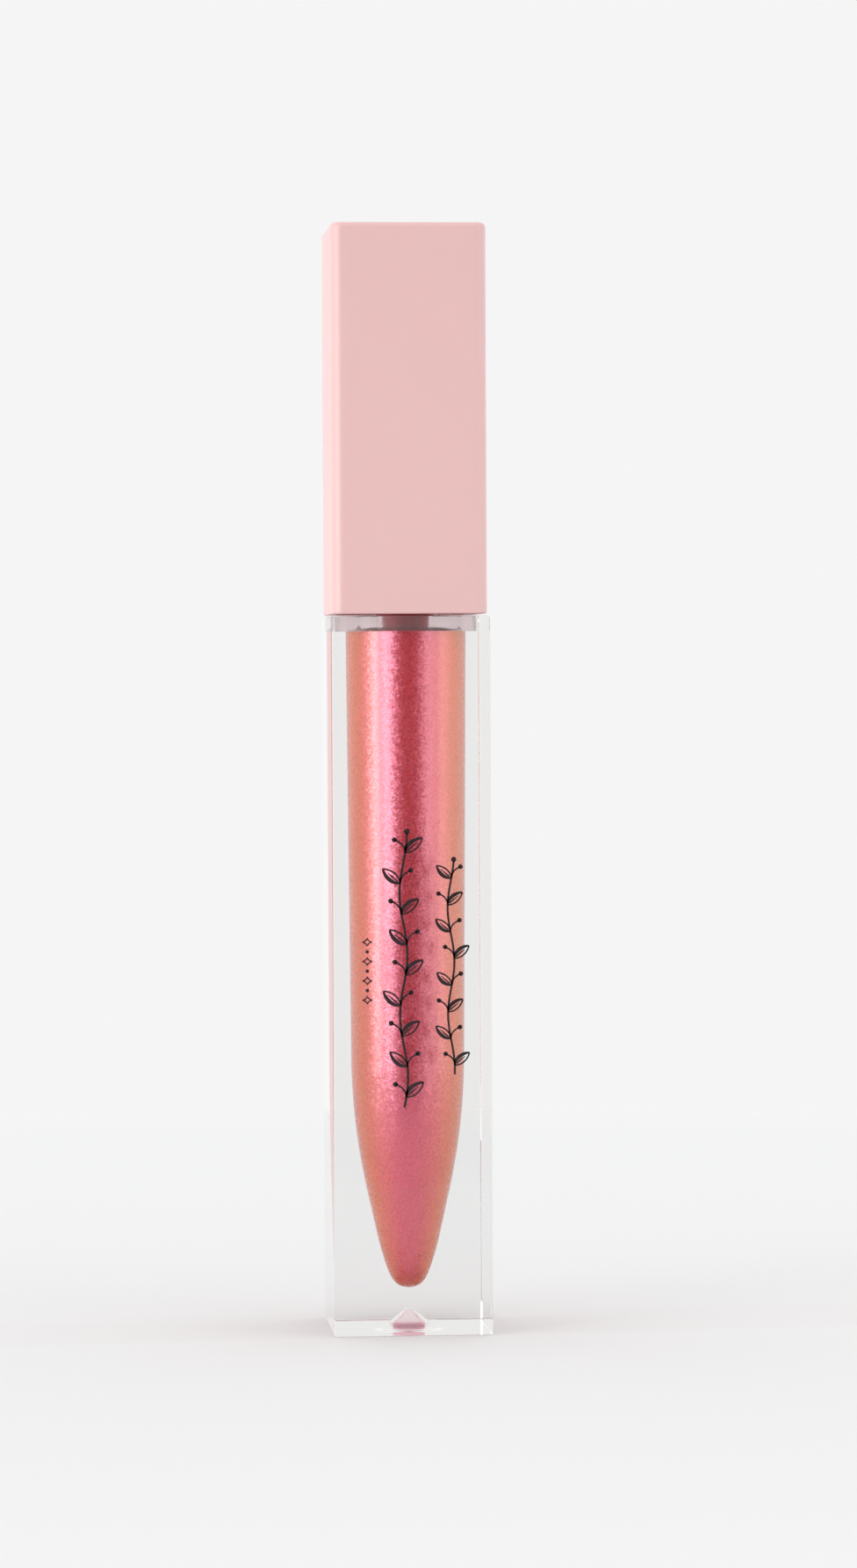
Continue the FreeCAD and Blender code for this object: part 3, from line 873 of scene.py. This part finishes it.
# radiance round the horizon, by azimuth from the front face's side (-Y), left is negative
RING = [(-180, .915), (-150, 1.0), (-121, .95), (-106, .95), (-93, 1.0), (-83, 1.2), (-76, 1.9), (-68, 3.6), (-60, 5.0),
        (-46, 5.0), (-40, 2.5), (-34, 1.0), (-28, .3), (-20, .08), (-12, .03), (0, .02), (13, .03), (21, .08), (29, .35),
        (38, 1.3), (52, 2.1), (70, 1.8), (100, 1.15), (135, 1.1), (160, .93), (180, .915)]
sepw = k.node("ShaderNodeSeparateXYZ")
k.link(D, sepw.inputs[0])
ang = k.math("ARCTAN2", sepw.outputs["X"], k.math("MULTIPLY", sepw.outputs["Y"], -1.0))
turn = k.math("ADD", k.math("MULTIPLY", ang, 0.5 / math.pi), 0.5)
ring = k.math("MULTIPLY", k.ramp(turn, [((d + 180) / 360.0, (v / 8,) * 3) for d, v in RING]), 8.0)
high = k.maprange(sepw.outputs["Z"], 0.20, 0.50, 0.0, 1.0, "SMOOTHSTEP")
low = k.maprange(sepw.outputs["Z"], -0.55, -0.25, 1.0, 0.0, "SMOOTHSTEP")
side_l = k.math("MULTIPLY", k.math("SUBTRACT", 1.0, high), k.math("SUBTRACT", 1.0, low))
total_l = k.math("ADD", k.math("MULTIPLY", ring, side_l),
                 k.math("ADD", k.math("MULTIPLY", high, TOP_L), k.math("MULTIPLY", low, 0.5)))
lp = k.node("ShaderNodeLightPath")
through = k.math("GREATER_THAN", lp.outputs["Transmission Depth"], 0.5)
for name in ("Glossy Depth", "Diffuse Depth"):
    through = k.math("MULTIPLY", through, k.math("LESS_THAN", lp.outputs[name], 0.5))
through = k.math("MULTIPLY", through, k.maprange(sepw.outputs["Y"], -0.45, -0.15, 1.0, 0.0, "SMOOTHSTEP"))
through = k.math("MULTIPLY", through, k.math("LESS_THAN", sepw.outputs["Z"], 0.0))
total_l = k.math("ADD", k.math("MULTIPLY", total_l, k.math("SUBTRACT", 1.0, through)), k.math("MULTIPLY", through, BACK))
seen = k.math("MULTIPLY", lp.outputs["Is Camera Ray"], 1.0)
final = k.math("ADD", k.math("MULTIPLY", total_l, k.math("SUBTRACT", 1.0, seen)), k.math("MULTIPLY", seen, BACK))
bg = k.node("ShaderNodeBackground")
bg.inputs["Color"].default_value = (1, 1, 1, 1)
k.link(final, bg.inputs["Strength"])
wo = k.node("ShaderNodeOutputWorld")
k.link(bg.outputs[0], wo.inputs[0])

bpy.context.scene.view_settings.view_transform = "Standard"
bpy.context.scene.view_settings.look = "None"

# ------------------------------------------------------------------ camera
F_PX, LONG = 5780.0, 1785.0
DIST, HEIGHT, YAW = 0.5485, 0.0706, 4.4
TURN, PITCH, ROLL = 0.262, 1.244, -0.28
cd = bpy.data.cameras.new("camera")
cd.sensor_fit = "AUTO"
cd.sensor_width = 36.0
cd.lens = F_PX / LONG * 36.0
cd.clip_start, cd.clip_end = 0.01, 50.0
cd.dof.use_dof = False
cam = bpy.data.objects.new("camera", cd)
bpy.context.scene.collection.objects.link(cam)
a = math.radians(YAW)
pos = Vector((-DIST * math.sin(a), -DIST * math.cos(a), HEIGHT))
b = a + math.radians(TURN)
pt = math.radians(PITCH)
fwd = Vector((math.sin(b) * math.cos(pt), math.cos(b) * math.cos(pt), -math.sin(pt)))
rgt = Vector((math.cos(b), -math.sin(b), 0))
upv = rgt.cross(fwd)
rot = Matrix((rgt, upv, -fwd)).transposed() @ Matrix.Rotation(math.radians(ROLL), 3, "Z")
cam.matrix_world = Matrix.Translation(pos) @ rot.to_4x4()
bpy.context.scene.camera = cam
